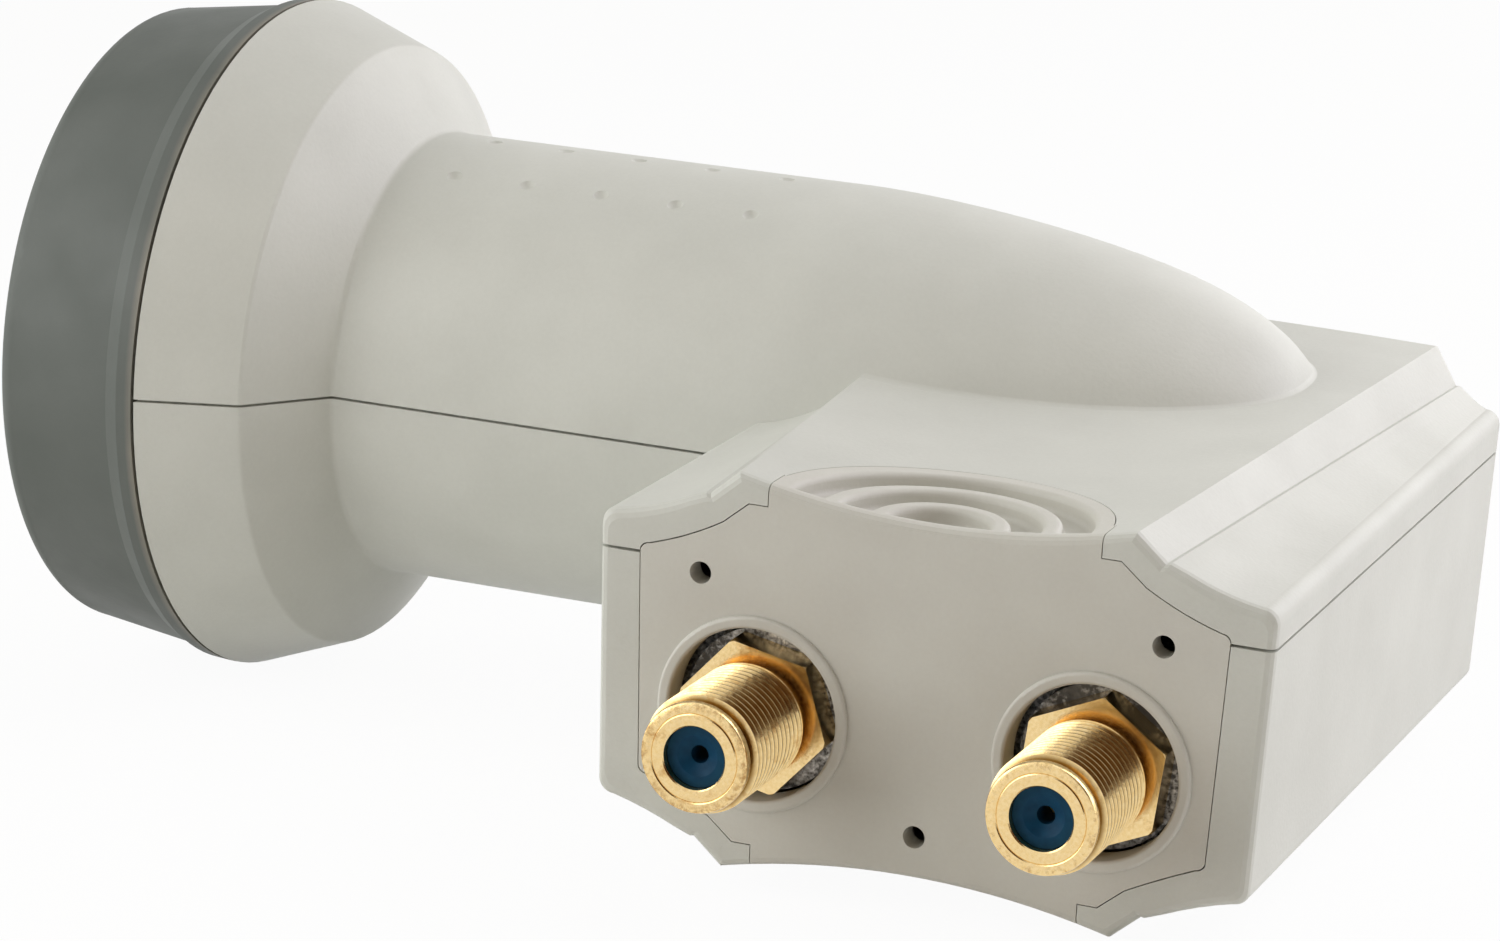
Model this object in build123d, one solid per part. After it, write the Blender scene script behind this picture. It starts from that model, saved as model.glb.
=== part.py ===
from build123d import *
import math
import os

os.makedirs("parts", exist_ok=True)

# Clamp neck, 40 mm across, with the frame's origin at its middle and X along its axis
neck_r = 20.0
neck_len = 38.9
cone_len = 5.1
shoulder_r = 27.3
taper_len = 8.55
neck_bend = 0.6
nose_fillet = 0.5
rim_r = 30.5
wall = 2.0
neck_x0 = -neck_len / 2
neck_x1 = neck_len / 2
shoulder_x = neck_x0 - cone_len
rim_x = shoulder_x - taper_len

# Bullet-shaped end of the neck on the housing's top: x and radius
nose_points = [(29.0, 19.5), (45.8, 16.95), (56.7, 13.1), (61.3, 9.1), (62.5, 5.5)]

# Housing box: half sections at the front and at the back, heights taken from its middle height
box_half = 27.4
box_x = neck_x1 + box_half
mid_z = -8.6
y_front = -50.6
y_back = 20.0
draft = 0.65
corner = 1.25
front_section = {"edge": (16.0, 16.05), "foot": (18.4, 13.98), "lip": (18.75, 14.03), "step": (20.15, 13.5)}
back_section = {"edge": (21.3, 17.3), "foot": (23.3, 13.98), "lip": (23.62, 14.02), "step": (24.65, 13.2)}
cove_sag_front = 0.22
cove_sag_back = 0.04
corner_h_front = 11.7
corner_h_back = 12.3
crest_front = 14.1
crest_back = 17.7
front_round = 0.7
back_round = 1.2
round_bands = 3
seam_gap = 0.24
seam_depth = 0.7

# Round dents on the neck
dent_r = 0.72
dent_depth = 0.3
dent_pitch = 7.0
dent_count = 5
dent_angle = 24.0

# End plate and its mouth in the shells
mouth_inset = 2.3
mouth_side = 3.45
mouth_corner = 0.7
mouth_sag = 0.2
slot_half = 13.5
frame_t = 3.2
plate_gap = 0.08
plate_t = 2.2
flange_t = 1.6
flange_inset = 2.2
flap_y = 1.0
flap_t = 3.0
flap_under = 0.6
groove_t = 1.5
groove_w = 2.4
rib_w = 1.55
rib_round = 0.5
groove_bend = 0.5
front_rib = 1.5
port_ring_r = 7.95
port_r = 6.95
port_raise = 0.4
port_round = 0.3
weep_r = 0.9
weep_back_r = 2.0
weep_side = (18.77, -0.96)
weep_low = -19.3

# F sockets
socket_x = 13.83
socket_z = -11.66
socket_drop = 0.25
thread_r = 4.75
relief_r = 4.1
relief_len = 0.45
relief_slope = 0.15
lead_r = 4.38
lead_len = 0.45
lead_chamfer = 0.22
face_r = 4.15
thread_tip_y = -62.45
hex_af = 11.0
hex_front_y = -50.75
hex_back_y = -48.0
shank_r = 4.0
shank_gap = 0.03
shank_short = 0.1
socket_bore_r = 2.5
insulator_gap = 0.02
insulator_recess = 0.8
insulator_back_y = -43.6
dish_land = 0.85
dish_depth = 0.5
pin_hole_r = 0.72
grip_in = 4.0
grip_len = 9.0
grip_bore_r = 0.42
grip_bore_len = 5.0
tail_r = 0.4
tail_end_y = -38.0
tail_gap = 0.04
hex_turn_left = 48.5
hex_turn_right = 24.0
axis_z = socket_z - socket_drop

# Cast metal body
guide_r = 8.75
guide_wall = 3.25
guide_past = 3.15
back_short_t = 3.0
horn_len = 12.5
horn_flange_step = 1.3
horn_flange_t = 1.8
horn_wall = 2.2
throat_len = 4.0
throat_run = 2.0
throat_step = 3.0
choke_depth = 6.5
choke_land = 1.5
choke_count = 3
tray_side = 5.0
tray_wall = 2.2
tray_top = -5.5
tray_ceiling = 2.2
tray_bottom = -17.4
tray_front = 5.0
tray_back = 4.5
ledge_w = 1.0
boss_r = 6.6
pillar_r = 2.6
pillar_spots = [(-12.0, -30.0), (12.0, -30.0), (-12.0, 9.0), (12.0, 9.0)]

# Circuit board and its chips, placed from the housing's middle in x
board_top = axis_z - tail_r - tail_gap
board_t = 0.8
board_gap = 0.15
chip_size = (5.0, 5.0, 0.9)
chip_spot = (0.0, -6.5)
crystal_size = (3.2, 2.5, 0.8)
crystal_spot = (7.6, -8.25)
regulator_size = (6.4, 3.5, 1.7)
regulator_side = 1.8
regulator_y = -21.25
amplifier_size = (1.8, 1.8, 0.7)
amplifier_spots = [(-5.85, 4.0), (2.15, 4.0), (-5.85, -19.0), (2.15, -19.0)]

# Lid and screws
lid_t = 1.2
lid_inset = 0.6
lid_rib = 1.2
lid_rib_y = -12.0
lid_clear = 0.1
lid_hole_gap = 0.15
screw_r = 1.25
screw_gap = 0.05
screw_head_r = 2.2
screw_head_t = 1.3
screw_len = 6.5
screw_round = 0.5
screw_spare = 0.5
drive_w = 0.6
drive_len = 2.6
drive_depth = 0.7
post_clear = 0.05
post_r = 2.0
top_posts = [(-17.0, -30.0), (17.0, -30.0)]
floor_posts = [(-10.0, -24.0), (10.0, -24.0), (-10.0, 3.0), (10.0, 3.0)]

# Antenna probes in the round guide
probe_r = 0.65
bush_r = 2.0
probe_gap = 0.02
probe_depth = 5.2
probe_foot_len = 0.4
upright_back = 8.85
cross_back = 1.85
cross_y = -15.0

# Feed cap: its radii step in from the rim of the housing
cap_len = 14.6
cap_taper = 1.35
cap_lip = 0.8
cap_lip_x = 2.9
cap_lip_rise = 1.4
cap_lip_round = 0.1
cap_gap = 0.3
cap_fit = 0.1
cap_wall = 1.9
cap_air = 0.3
cap_round = 1.6
cap_crown = 0.5
seal_r = 0.85
seal_room = 2.2

# How far a cutting tool runs past the surface that it cuts
past = 1.0
far = 200.0


def blend(a, b, t):
    return a + (b - a) * t


def outline(t, y, w=0.0, side=None, bend=corner, plain=False):
    """Housing outline at depth y, w inside the outer skin; t is 0 at the front and 1 at the back.

    A plain outline has a flat top and smooth shoulders, as the end plate's mouth has.
    """
    s = w if side is None else side

    def station(name, along, up):
        x = blend(front_section[name][0], back_section[name][0], t) - along * w
        h = blend(front_section[name][1], back_section[name][1], t) - up * w
        return (x, h)

    corners = [station("edge", 0.41, 1.0), station("foot", 0.55, 0.86)]
    sag = mouth_sag
    if not plain:
        corners += [station("lip", 0.50, 0.88), station("step", 0.40, 0.92)]
        sag = blend(cove_sag_front, cove_sag_back, t)
    top_h = blend(corner_h_front, corner_h_back, t) - w
    end = (box_half - s - bend, top_h)
    start = corners[-1]
    cove = ((start[0] + end[0]) / 2 - 0.3 * sag, (start[1] + end[1]) / 2 - sag)
    k = bend * (1 - math.sqrt(0.5))
    n = len(corners) - 1
    lines = []
    for sx in (1, -1):
        flanks = []
        for up in (1, -1):
            lean = 0.0 if up > 0 else draft
            path = corners + [cove, (end[0] - lean, end[1]), (box_half - s - k - lean, top_h - k)]
            path = path + [(box_half - s - lean, top_h - bend)]
            q = [(sx * x, up * h) for x, h in path]
            lines += [Line(q[i], q[i + 1]) for i in range(n)]
            lines.append(ThreePointArc(q[n], q[n + 1], q[n + 2]))
            lines.append(ThreePointArc(q[n + 2], q[n + 3], q[n + 4]))
            flanks.append(q[-1])
        lines.append(Line(flanks[0], flanks[1]))
    crest = blend(crest_front, crest_back, t) - w
    for up in (1, -1):
        ends = (corners[0][0], up * corners[0][1])
        far_end = (-ends[0], ends[1])
        lines.append(Line(ends, far_end) if plain else ThreePointArc(ends, (0, up * crest), far_end))
    place = Plane(origin=(box_x, y, mid_z), x_dir=(1, 0, 0), z_dir=(0, -1, 0))
    return place * make_face(lines)


def box_at(y, w):
    return outline((y - y_front) / (y_back - y_front), y, w)


def box_solid(w, y0, y1):
    return loft([box_at(y0, w), box_at(y1, w)], ruled=True)


def rounded_box():
    """Outer box with its front and back rims rounded off in a few narrow bands."""
    turns = [math.radians(90 * i / round_bands) for i in range(round_bands + 1)]
    stations = [(y_front + front_round * (1 - math.cos(a)), front_round * (1 - math.sin(a))) for a in turns]
    stations += [(y_back - back_round * (1 - math.sin(a)), back_round * (1 - math.cos(a))) for a in turns]
    return loft([box_at(y, w) for y, w in stations], ruled=True)


def prism(face, depth):
    return extrude(face, amount=depth, dir=(0, 1, 0))


def turned(points):
    """Solid of revolution about X from points (x, radius), closed along the axis."""
    path = Polyline(*[(x, 0, r) for x, r in points])
    axis_line = Line((points[-1][0], 0, points[-1][1]), (points[0][0], 0, points[0][1]))
    return revolve(make_face([path, axis_line]), Axis.X)


def neck_solid(w, mouth=0.0):
    """Feed end, neck and nose as one turned solid, w inside the outer skin."""
    shoulder = (shoulder_x - 0.62 * w, shoulder_r - 0.81 * w)
    start = (neck_x0 - 0.475 * w, neck_r - w)
    knots = [(neck_x1, neck_r)] + nose_points
    run = [(neck_x1, neck_r - w)]
    for i in range(1, len(knots)):
        a = knots[i - 1]
        b = knots[min(i + 1, len(knots) - 1)]
        size = math.hypot(b[0] - a[0], b[1] - a[1])
        nx = (a[1] - b[1]) / size
        nr = (b[0] - a[0]) / size
        run.append((knots[i][0] - nx * w, knots[i][1] - nr * w))
    rim = (rim_x - mouth, rim_r - 1.1 * w + mouth * (rim_r - shoulder_r) / taper_len)
    curve = Spline(*[(x, 0, -r) for x, r in run], tangents=[(1, 0, 0), (0.25, 0, 1)])
    tip = run[-1]
    corners = [rim, shoulder, start, (neck_x1, start[1])]
    flat = FilletPolyline(*[(x, 0, -r) for x, r in corners], radius=neck_bend)
    back = Polyline((tip[0], 0, -tip[1]), (tip[0], 0, 0), (rim[0], 0, 0), (rim[0], 0, -rim[1]))
    face = make_face([flat, curve, back])
    return revolve(face, Axis.X)


def rod(r, start, end):
    """Round bar between two points."""
    a = Vector(*start)
    b = Vector(*end)
    bar = Cylinder(r, (b - a).length, align=(Align.CENTER, Align.CENTER, Align.MIN))
    return Plane(origin=start, z_dir=b - a) * bar


def block(x0, x1, y0, y1, z0, z1):
    return Pos((x0 + x1) / 2, (y0 + y1) / 2, (z0 + z1) / 2) * Box(x1 - x0, y1 - y0, z1 - z0)


def across(half, y0, y1, z0, z1):
    """Block centred on the housing's middle."""
    return block(box_x - half, box_x + half, y0, y1, z0, z1)


def upright_rod(r, spot, z0, z1):
    """Upright bar at a spot given from the housing's middle in x."""
    return rod(r, (box_x + spot[0], spot[1], z0), (box_x + spot[0], spot[1], z1))


# Outer and inner bodies of the two shells
box_outer = rounded_box()
neck_outer = neck_solid(0.0)
body = neck_outer + box_outer
top_low = mid_z + front_section["foot"][1]
top_high = mid_z + 1.1 * crest_back


def at_nose_foot(edge):
    """The long edge where the nose runs into the housing's top."""
    middle = edge.center()
    return edge.length > box_half and top_low < middle.Z < top_high and abs(middle.Y) < neck_r / 4


body = fillet(body.edges().filter_by(at_nose_foot), nose_fillet)
box_inner = box_solid(wall, y_front + frame_t, y_back - wall)
hollow = body - neck_solid(wall, mouth=past) - box_inner

# Mouth for the end plate
mouth_face = outline(0.0, y_front - past, mouth_inset, mouth_side, mouth_corner, True)
slot = across(slot_half, y_front - past, y_front + frame_t, mid_z - far, mid_z + far)
hollow = hollow - prism(mouth_face, frame_t + past) - slot


def arch(r, y_from):
    """Upright arch prism over the plateau, flat side at y_from behind the front face."""
    z1 = mid_z + 2 * crest_back
    disc = Pos(box_x, y_front + flap_y, (mid_z + z1) / 2) * Cylinder(r, z1 - mid_z)
    strip = across(r, y_front - past, y_front + flap_y, mid_z, z1)
    keep = across(r + past, y_front + y_from, y_back, mid_z, z1)
    return (disc + strip) & keep


hollow = hollow - (arch(slot_half, -past) - box_solid(flap_t + flap_under, y_front - 2 * past, y_back))

# Seam groove round the outside, and dents on the neck
seam_core = box_solid(seam_depth, y_front + seam_depth, y_back - seam_depth)
hollow = hollow - (Box(far, far, seam_gap) - neck_solid(seam_depth) - seam_core)
dent_ball = (dent_r**2 + dent_depth**2) / (2 * dent_depth)
dents = []
for row in (-1, 0, 1):
    for i in range(dent_count):
        x = (i - (dent_count - 1) / 2) * dent_pitch
        centre = Pos(x, 0, neck_r - dent_depth + dent_ball)
        dents.append(Rot(row * dent_angle, 0, 0) * centre * Sphere(dent_ball))
hollow = hollow - dents

upper_half = block(-far, far, -far, far, 0, far)
lower_half = block(-far, far, -far, far, -far, 0)
skin_core = box_solid(wall / 2, y_front + wall / 2, y_back - wall / 2)
lid_bottom = tray_bottom - lid_t
upper_shell = hollow & upper_half
for spot in top_posts:
    post = upright_rod(post_r, spot, tray_top + post_clear, mid_z + crest_back)
    upper_shell = upper_shell + (post & skin_core)
lower_shell = hollow & lower_half
for spot in floor_posts:
    post = upright_rod(post_r, spot, mid_z - 2 * crest_back, lid_bottom - post_clear)
    lower_shell = lower_shell + (post & skin_core)

# End plate with its arched grille flap
inset = mouth_inset + plate_gap
side_inset = mouth_side + plate_gap
plate_face = outline(0.0, y_front, inset, side_inset, mouth_corner, True)
plate_slot = across(slot_half - plate_gap, y_front, y_front + frame_t, mid_z - far, mid_z + far)
end_plate = prism(plate_face, frame_t) + (plate_slot & box_outer)
flange_face = outline(0.0, y_front + frame_t, flange_inset, flange_inset, mouth_corner)
flange = prism(flange_face, flange_t)
end_plate = end_plate + flange
pocket_inset = inset + flange_t
pocket_side = pocket_inset + flange_t / 2
pocket = outline(0.0, y_front + plate_t, pocket_inset, pocket_side, mouth_corner)
end_plate = end_plate - prism(pocket, frame_t + flange_t)
flap = arch(slot_half - plate_gap, 0.0) & box_outer
flap = flap - box_solid(flap_t, y_front - 2 * past, y_back)
end_plate = end_plate + flap
groove_floor = box_solid(groove_t, y_front - 2 * past, y_back)
for i in range(3):
    r_out = slot_half - rib_w - i * (groove_w + rib_w)
    cut = arch(r_out, front_rib)
    if i < 2:
        cut = cut - arch(r_out - groove_w, -past)
    end_plate = end_plate - (cut - groove_floor)
plate_back = y_front + frame_t + flange_t + past


def flap_top(plate):
    """The flap's top face, whose openings are the grooves."""
    high = mid_z + crest_front / 2
    return [face for face in plate.faces() if face.inner_wires() and face.center().Z > high][0]


def soften(plate, sharp, r):
    """Fillets the edges of a plate that are among the sharp ones."""
    return fillet(plate.edges().filter_by(lambda edge: any(edge.is_same(one) for one in sharp)), r)


top_z = flap_top(end_plate).center().Z
floor_edges = []
for face in end_plate.faces().filter_by(GeomType.BSPLINE):
    middle = face.center()
    if middle.Y > y_front + front_rib and groove_t / 2 < top_z - middle.Z < 1.5 * groove_t:
        floor_edges += face.outer_wire().edges()
end_plate = soften(end_plate, floor_edges, groove_bend)
rim_edges = []
for wire in flap_top(end_plate).inner_wires():
    rim_edges += wire.edges()
end_plate = soften(end_plate, rim_edges, rib_round)


def level_rod(r, x, z, y0, y1):
    """Level bar along Y at x from the housing's middle."""
    return rod(r, (box_x + x, y0, z), (box_x + x, y1, z))


for sx in (-socket_x, socket_x):
    port = level_rod(port_r, sx, socket_z, y_front - port_raise - past, plate_back)
    ring = level_rod(port_ring_r, sx, socket_z, y_front - port_raise, y_front + plate_t) - port
    rims = ring.edges().filter_by(GeomType.CIRCLE).group_by(Axis.Y)[0]
    end_plate = end_plate - port + fillet(rims, port_round)
for x, z in ((-weep_side[0], weep_side[1]), weep_side, (0.0, weep_low)):
    end_plate = end_plate - level_rod(weep_r, x, z, y_front - past, plate_back)
    end_plate = end_plate - level_rod(weep_back_r, x, z, y_front + plate_t, plate_back)

# Cast body: ringed horn, round guide and tray
cap_waist_r = rim_r - cap_lip
cap_front_r = cap_waist_r - cap_taper
cap_in_r = cap_waist_r - cap_wall
horn_r = cap_in_r - cap_fit - 2 * seal_r
horn_front_x = rim_x - horn_len
horn_flange_r = rim_r - horn_flange_step
guide_out = guide_r + guide_wall
guide_end_x = box_x + guide_past
flange_x = rim_x - horn_flange_t
tube_x1 = guide_end_x + back_short_t
profile = [(horn_front_x, 0), (horn_front_x, horn_r), (flange_x, horn_r), (flange_x, horn_flange_r)]
profile += [(rim_x, horn_flange_r), (rim_x, horn_r), (shoulder_x - throat_len, horn_r - throat_step)]
profile += [(neck_x0 - throat_run, guide_out), (tube_x1, guide_out), (tube_x1, 0)]
chassis = turned(profile)
tray_half = box_half - tray_side
tray_y0 = y_front + tray_front
tray_y1 = y_back - tray_back
tray = across(tray_half, tray_y0, tray_y1, tray_bottom, tray_top)
room_half = tray_half - tray_wall
room_y0 = tray_y0 + tray_wall
room_y1 = tray_y1 - tray_wall
room_top = tray_top - tray_ceiling
room = across(room_half, room_y0, room_y1, tray_bottom - past, board_top)
loft_half = room_half - ledge_w
room = room + across(loft_half, room_y0 + ledge_w, room_y1 - ledge_w, board_top - past, room_top)
tray = tray - room
tube = rod(guide_out, (box_x - tray_half, 0, 0), (tube_x1, 0, 0))
chassis = chassis + tray + tube
for spot in pillar_spots:
    chassis = chassis + upright_rod(pillar_r, spot, tray_bottom, tray_top - tray_ceiling / 2)
for sx in (-socket_x, socket_x):
    chassis = chassis + level_rod(boss_r, sx, axis_z, hex_back_y, tray_y0 + lid_inset / 2)
    shank_way = level_rod(shank_r + shank_gap, sx, axis_z, hex_back_y - past, room_y0 + ledge_w + past)
    chassis = chassis - shank_way
chassis = chassis - rod(guide_r, (horn_front_x - past, 0, 0), (guide_end_x, 0, 0))
choke_w = (horn_r - horn_wall - guide_r - choke_count * choke_land) / choke_count
choke_end = horn_front_x + choke_depth
for i in range(choke_count):
    r_in = guide_r + choke_land + i * (choke_w + choke_land)
    ring = rod(r_in + choke_w, (horn_front_x - past, 0, 0), (choke_end, 0, 0))
    chassis = chassis - (ring - rod(r_in, (horn_front_x - 2 * past, 0, 0), (choke_end + past, 0, 0)))
screw_top = tray_bottom - lid_t + screw_len
for spot in pillar_spots:
    chassis = chassis - upright_rod(screw_r + screw_gap, spot, tray_bottom - past, screw_top + screw_spare)
upright = (-upright_back, 0.0)
cross = (-cross_back, cross_y)
cross_x = box_x - cross_back
chassis = chassis - upright_rod(bush_r, upright, -guide_out - tray_wall, -guide_r + past)
chassis = chassis - rod(bush_r, (cross_x, -guide_out - past, 0), (cross_x, -guide_r + past, 0))
chassis = chassis - upright_rod(bush_r, cross, room_top - past, tray_top + past)

# Probe bushes and probes
hole_r = probe_r + probe_gap
out_r = bush_r - probe_gap
low = upright_rod(out_r, upright, -guide_out, -guide_r) - upright_rod(hole_r, upright, -far, 0.0)
flat_hole = rod(hole_r, (cross_x, -far, 0), (cross_x, 0, 0))
flat = rod(out_r, (cross_x, -guide_out, 0), (cross_x, -guide_r, 0)) - flat_hole
deck = upright_rod(out_r, cross, room_top, tray_top) - upright_rod(hole_r, cross, -far, far)
probe_bushes = Compound(children=[low, flat, deck])
board_under = board_top - board_t
probe_foot = board_under - probe_foot_len
probe_upright = upright_rod(probe_r, upright, probe_foot, -guide_r + probe_depth)
knee = Pos(cross_x, cross_y, 0) * Sphere(probe_r)
probe_cross = upright_rod(probe_r, cross, probe_foot, 0.0) + knee
probe_cross = probe_cross + rod(probe_r, (cross_x, cross_y, 0), (cross_x, -guide_r + probe_depth, 0))

# Circuit board and what is on it
board_half = room_half - board_gap
circuit_board = across(board_half, room_y0 + board_gap, room_y1 - board_gap, board_under, board_top)
for spot in pillar_spots:
    circuit_board = circuit_board - upright_rod(pillar_r + board_gap, spot, -far, far)
for spot in (upright, cross):
    circuit_board = circuit_board - upright_rod(hole_r, spot, -far, far)


def chip(size, spot):
    """Block of a given length, width and thickness that hangs under the board."""
    return Pos(box_x + spot[0], spot[1], board_under - size[2] / 2) * Box(*size)


converter_chip = chip(chip_size, chip_spot)
clock_crystal = chip(crystal_size, crystal_spot)
rib_half = room_half - 2 * lid_clear
inner_half = rib_half - lid_rib
regulator_x = inner_half - regulator_side - regulator_size[0] / 2
regulator_spots = [(-regulator_x, regulator_y), (regulator_x, regulator_y)]
voltage_regulators = Compound(children=[chip(regulator_size, spot) for spot in regulator_spots])
amplifier_chips = Compound(children=[chip(amplifier_size, spot) for spot in amplifier_spots])

# Lid with its ribs, and its screws
lid = across(tray_half - lid_inset, tray_y0 + lid_inset, tray_y1 - lid_inset, lid_bottom, tray_bottom)
rib_top = board_under - lid_clear
rib = across(rib_half, room_y0 + 2 * lid_clear, room_y1 - 2 * lid_clear, tray_bottom, rib_top)
inner_y0 = room_y0 + 2 * lid_clear + lid_rib
inner_y1 = room_y1 - 2 * lid_clear - lid_rib
rib = rib - across(inner_half, inner_y0, inner_y1, tray_bottom - past, rib_top + past)
shield_lid = lid + rib
cross_rib = across(rib_half, lid_rib_y - lid_rib / 2, lid_rib_y + lid_rib / 2, tray_bottom, rib_top)
long_rib = across(lid_rib / 2, room_y0 + 2 * lid_clear, lid_rib_y, tray_bottom, rib_top)
shield_lid = shield_lid + cross_rib + long_rib
screws = []
for spot in pillar_spots:
    shield_lid = shield_lid - upright_rod(screw_r + lid_hole_gap, spot, lid_bottom - past, tray_bottom)
    shank = upright_rod(screw_r, spot, lid_bottom, screw_top)
    head = upright_rod(screw_head_r, spot, lid_bottom - screw_head_t, lid_bottom)
    head = fillet(head.edges().sort_by(Axis.Z)[0], screw_round)
    drive = Box(drive_len, drive_w, 2 * drive_depth) + Box(drive_w, drive_len, 2 * drive_depth)
    screws.append(shank + head - Pos(box_x + spot[0], spot[1], lid_bottom - screw_head_t) * drive)
lid_screws = Compound(children=screws)


def socket(sx, turn):
    """F socket: plated body, insulator and centre contact."""
    x = box_x + sx * socket_x
    spot = Plane(origin=(x, 0, axis_z), x_dir=(1, 0, 0), z_dir=(0, -1, 0))
    tip = -thread_tip_y
    hex_front = -hex_front_y
    hex_back = -hex_back_y
    shank_end = shank_short - room_y0
    thread_foot = (hex_front + hex_back) / 2
    lead_foot = tip - lead_chamfer - lead_len
    relief_top = lead_foot - relief_slope
    relief_foot = relief_top - relief_len
    lathe = [(0, shank_end), (shank_r, shank_end), (shank_r, thread_foot), (thread_r, thread_foot)]
    lathe += [(thread_r, relief_foot - relief_slope), (relief_r, relief_foot), (relief_r, relief_top)]
    lathe += [(lead_r, lead_foot), (lead_r, tip - lead_chamfer), (face_r, tip), (0, tip)]
    barrel = revolve(make_face(Polyline(*[(r, 0, z) for r, z in lathe], close=True)), Axis.Z)
    nut = extrude(RegularPolygon(hex_af / 2, 6, major_radius=False, rotation=turn), hex_front - hex_back)
    nut = Pos(0, 0, hex_back) * nut
    down = (Align.CENTER, Align.CENTER, Align.MAX)
    bevel = Cone(hex_af * 0.9, hex_af * 0.565, hex_af * 0.41, align=down)
    nut = nut & (Pos(0, 0, hex_front) * bevel)
    whole = barrel + nut
    bore = Cylinder(socket_bore_r, far)
    mouth = tip - insulator_recess
    sleeve = Pos(0, 0, mouth) * Cylinder(socket_bore_r - insulator_gap, mouth + insulator_back_y, align=down)
    dish = Cone(pin_hole_r, socket_bore_r - dish_land, dish_depth, align=down)
    sleeve = sleeve - Pos(0, 0, mouth) * dish - Cylinder(pin_hole_r, far)
    grip_top = tip - grip_in
    grip = Pos(0, 0, grip_top) * Cylinder(pin_hole_r - insulator_gap, grip_len, align=down)
    grip = grip - Pos(0, 0, grip_top + past) * Cylinder(grip_bore_r, grip_bore_len + past, align=down)
    tail = rod(tail_r, (0, 0, -tail_end_y), (0, 0, grip_top - grip_len + tail_r))
    return spot * (whole - bore), spot * sleeve, spot * (grip + tail)


socket_body_left, socket_insulator_left, centre_contact_left = socket(-1, hex_turn_left)
socket_body_right, socket_insulator_right, centre_contact_right = socket(1, hex_turn_right)

# Feed cap and its seal ring
cap_end = rim_x - cap_gap
cap_front_x = cap_end - cap_len
cap_peak_x = cap_front_x - cap_crown
lip_x = cap_end - cap_lip_x
turn_in = cap_round * (1 - math.sqrt(0.5))
dome_end = (cap_front_x, 0, cap_front_r - cap_round)
dome_mid = (cap_front_x - 0.75 * cap_crown, 0, cap_front_r / 2)
dome = ThreePointArc((cap_peak_x, 0, 0), dome_mid, dome_end)
skirt_start = (cap_front_x + cap_round, 0, cap_front_r)
edge_arc = ThreePointArc(dome_end, (cap_front_x + turn_in, 0, cap_front_r - turn_in), skirt_start)
lip_foot = (lip_x, 0, cap_waist_r)
lip_top = (lip_x + cap_lip_rise, 0, rim_r - cap_lip_round)
skirt = Polyline(skirt_start, lip_foot, lip_top, (cap_end, 0, rim_r), (cap_end, 0, 0), (cap_peak_x, 0, 0))
cap_solid = revolve(make_face([dome, edge_arc, skirt]), Axis.X)
room_front = horn_front_x - cap_air
front_r = horn_r + cap_air
step_x = flange_x - seal_room
flange_r = horn_flange_r + cap_fit
cap_path = [(room_front, 0), (room_front, front_r), (step_x, front_r), (step_x, cap_in_r)]
cap_path += [(flange_x, cap_in_r), (flange_x, flange_r), (cap_end + past, flange_r), (cap_end + past, 0)]
feed_cap = cap_solid - turned(cap_path)
ring_line = Pos(flange_x - seal_r, 0, horn_r + seal_r) * Rot(90, 0, 0) * Circle(seal_r)
cap_seal = revolve(ring_line, Axis.X)

nodes = {"feed_cap": feed_cap, "cap_seal": cap_seal, "upper_shell": upper_shell, "lower_shell": lower_shell}
nodes.update({"end_plate": end_plate, "chassis": chassis, "circuit_board": circuit_board})
nodes.update({"shield_lid": shield_lid, "lid_screws": lid_screws, "probe_bushes": probe_bushes})
nodes.update({"probe_upright": probe_upright, "probe_cross": probe_cross, "converter_chip": converter_chip})
nodes.update({"clock_crystal": clock_crystal, "voltage_regulators": voltage_regulators})
nodes.update({"amplifier_chips": amplifier_chips, "socket_body_left": socket_body_left})
nodes.update({"socket_body_right": socket_body_right, "socket_insulator_left": socket_insulator_left})
nodes.update({"socket_insulator_right": socket_insulator_right, "centre_contact_left": centre_contact_left})
nodes.update({"centre_contact_right": centre_contact_right})
for name, shape in nodes.items():
    export_step(shape, f"parts/{name}.step")
    print(name, len(shape.solids()), round(shape.volume, 1), shape.is_valid)
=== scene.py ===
# %% [markdown]
# # A satellite LNB with two outputs
# This part sits at the focus of a satellite dish. A grey cap closes its feed horn, a round
# neck goes into the dish arm's clamp, and two gold-plated F sockets come out of a flat plate.
# The solids arrive finished and to size, so this lesson is about looks: the camera, the light,
# the finishes, and the two sockets, whose threads the solids show only as plain cylinders.

# %% Load the solids
import math
import bpy
import bmesh
from mathutils import Matrix, Vector


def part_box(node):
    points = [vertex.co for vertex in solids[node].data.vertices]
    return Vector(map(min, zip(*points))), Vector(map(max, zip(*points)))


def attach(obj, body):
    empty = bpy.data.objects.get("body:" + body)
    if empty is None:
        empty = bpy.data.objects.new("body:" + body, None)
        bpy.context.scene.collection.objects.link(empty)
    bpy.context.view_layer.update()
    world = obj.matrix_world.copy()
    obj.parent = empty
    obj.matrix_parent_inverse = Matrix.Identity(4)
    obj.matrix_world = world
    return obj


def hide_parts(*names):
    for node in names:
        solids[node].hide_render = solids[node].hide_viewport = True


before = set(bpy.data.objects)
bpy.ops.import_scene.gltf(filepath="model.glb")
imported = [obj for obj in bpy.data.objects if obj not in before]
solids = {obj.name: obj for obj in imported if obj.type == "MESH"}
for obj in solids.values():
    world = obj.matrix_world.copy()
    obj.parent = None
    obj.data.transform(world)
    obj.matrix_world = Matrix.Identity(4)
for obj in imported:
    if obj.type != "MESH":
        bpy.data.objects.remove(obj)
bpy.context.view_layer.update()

MM = 0.001
scene = bpy.context.scene

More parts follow.
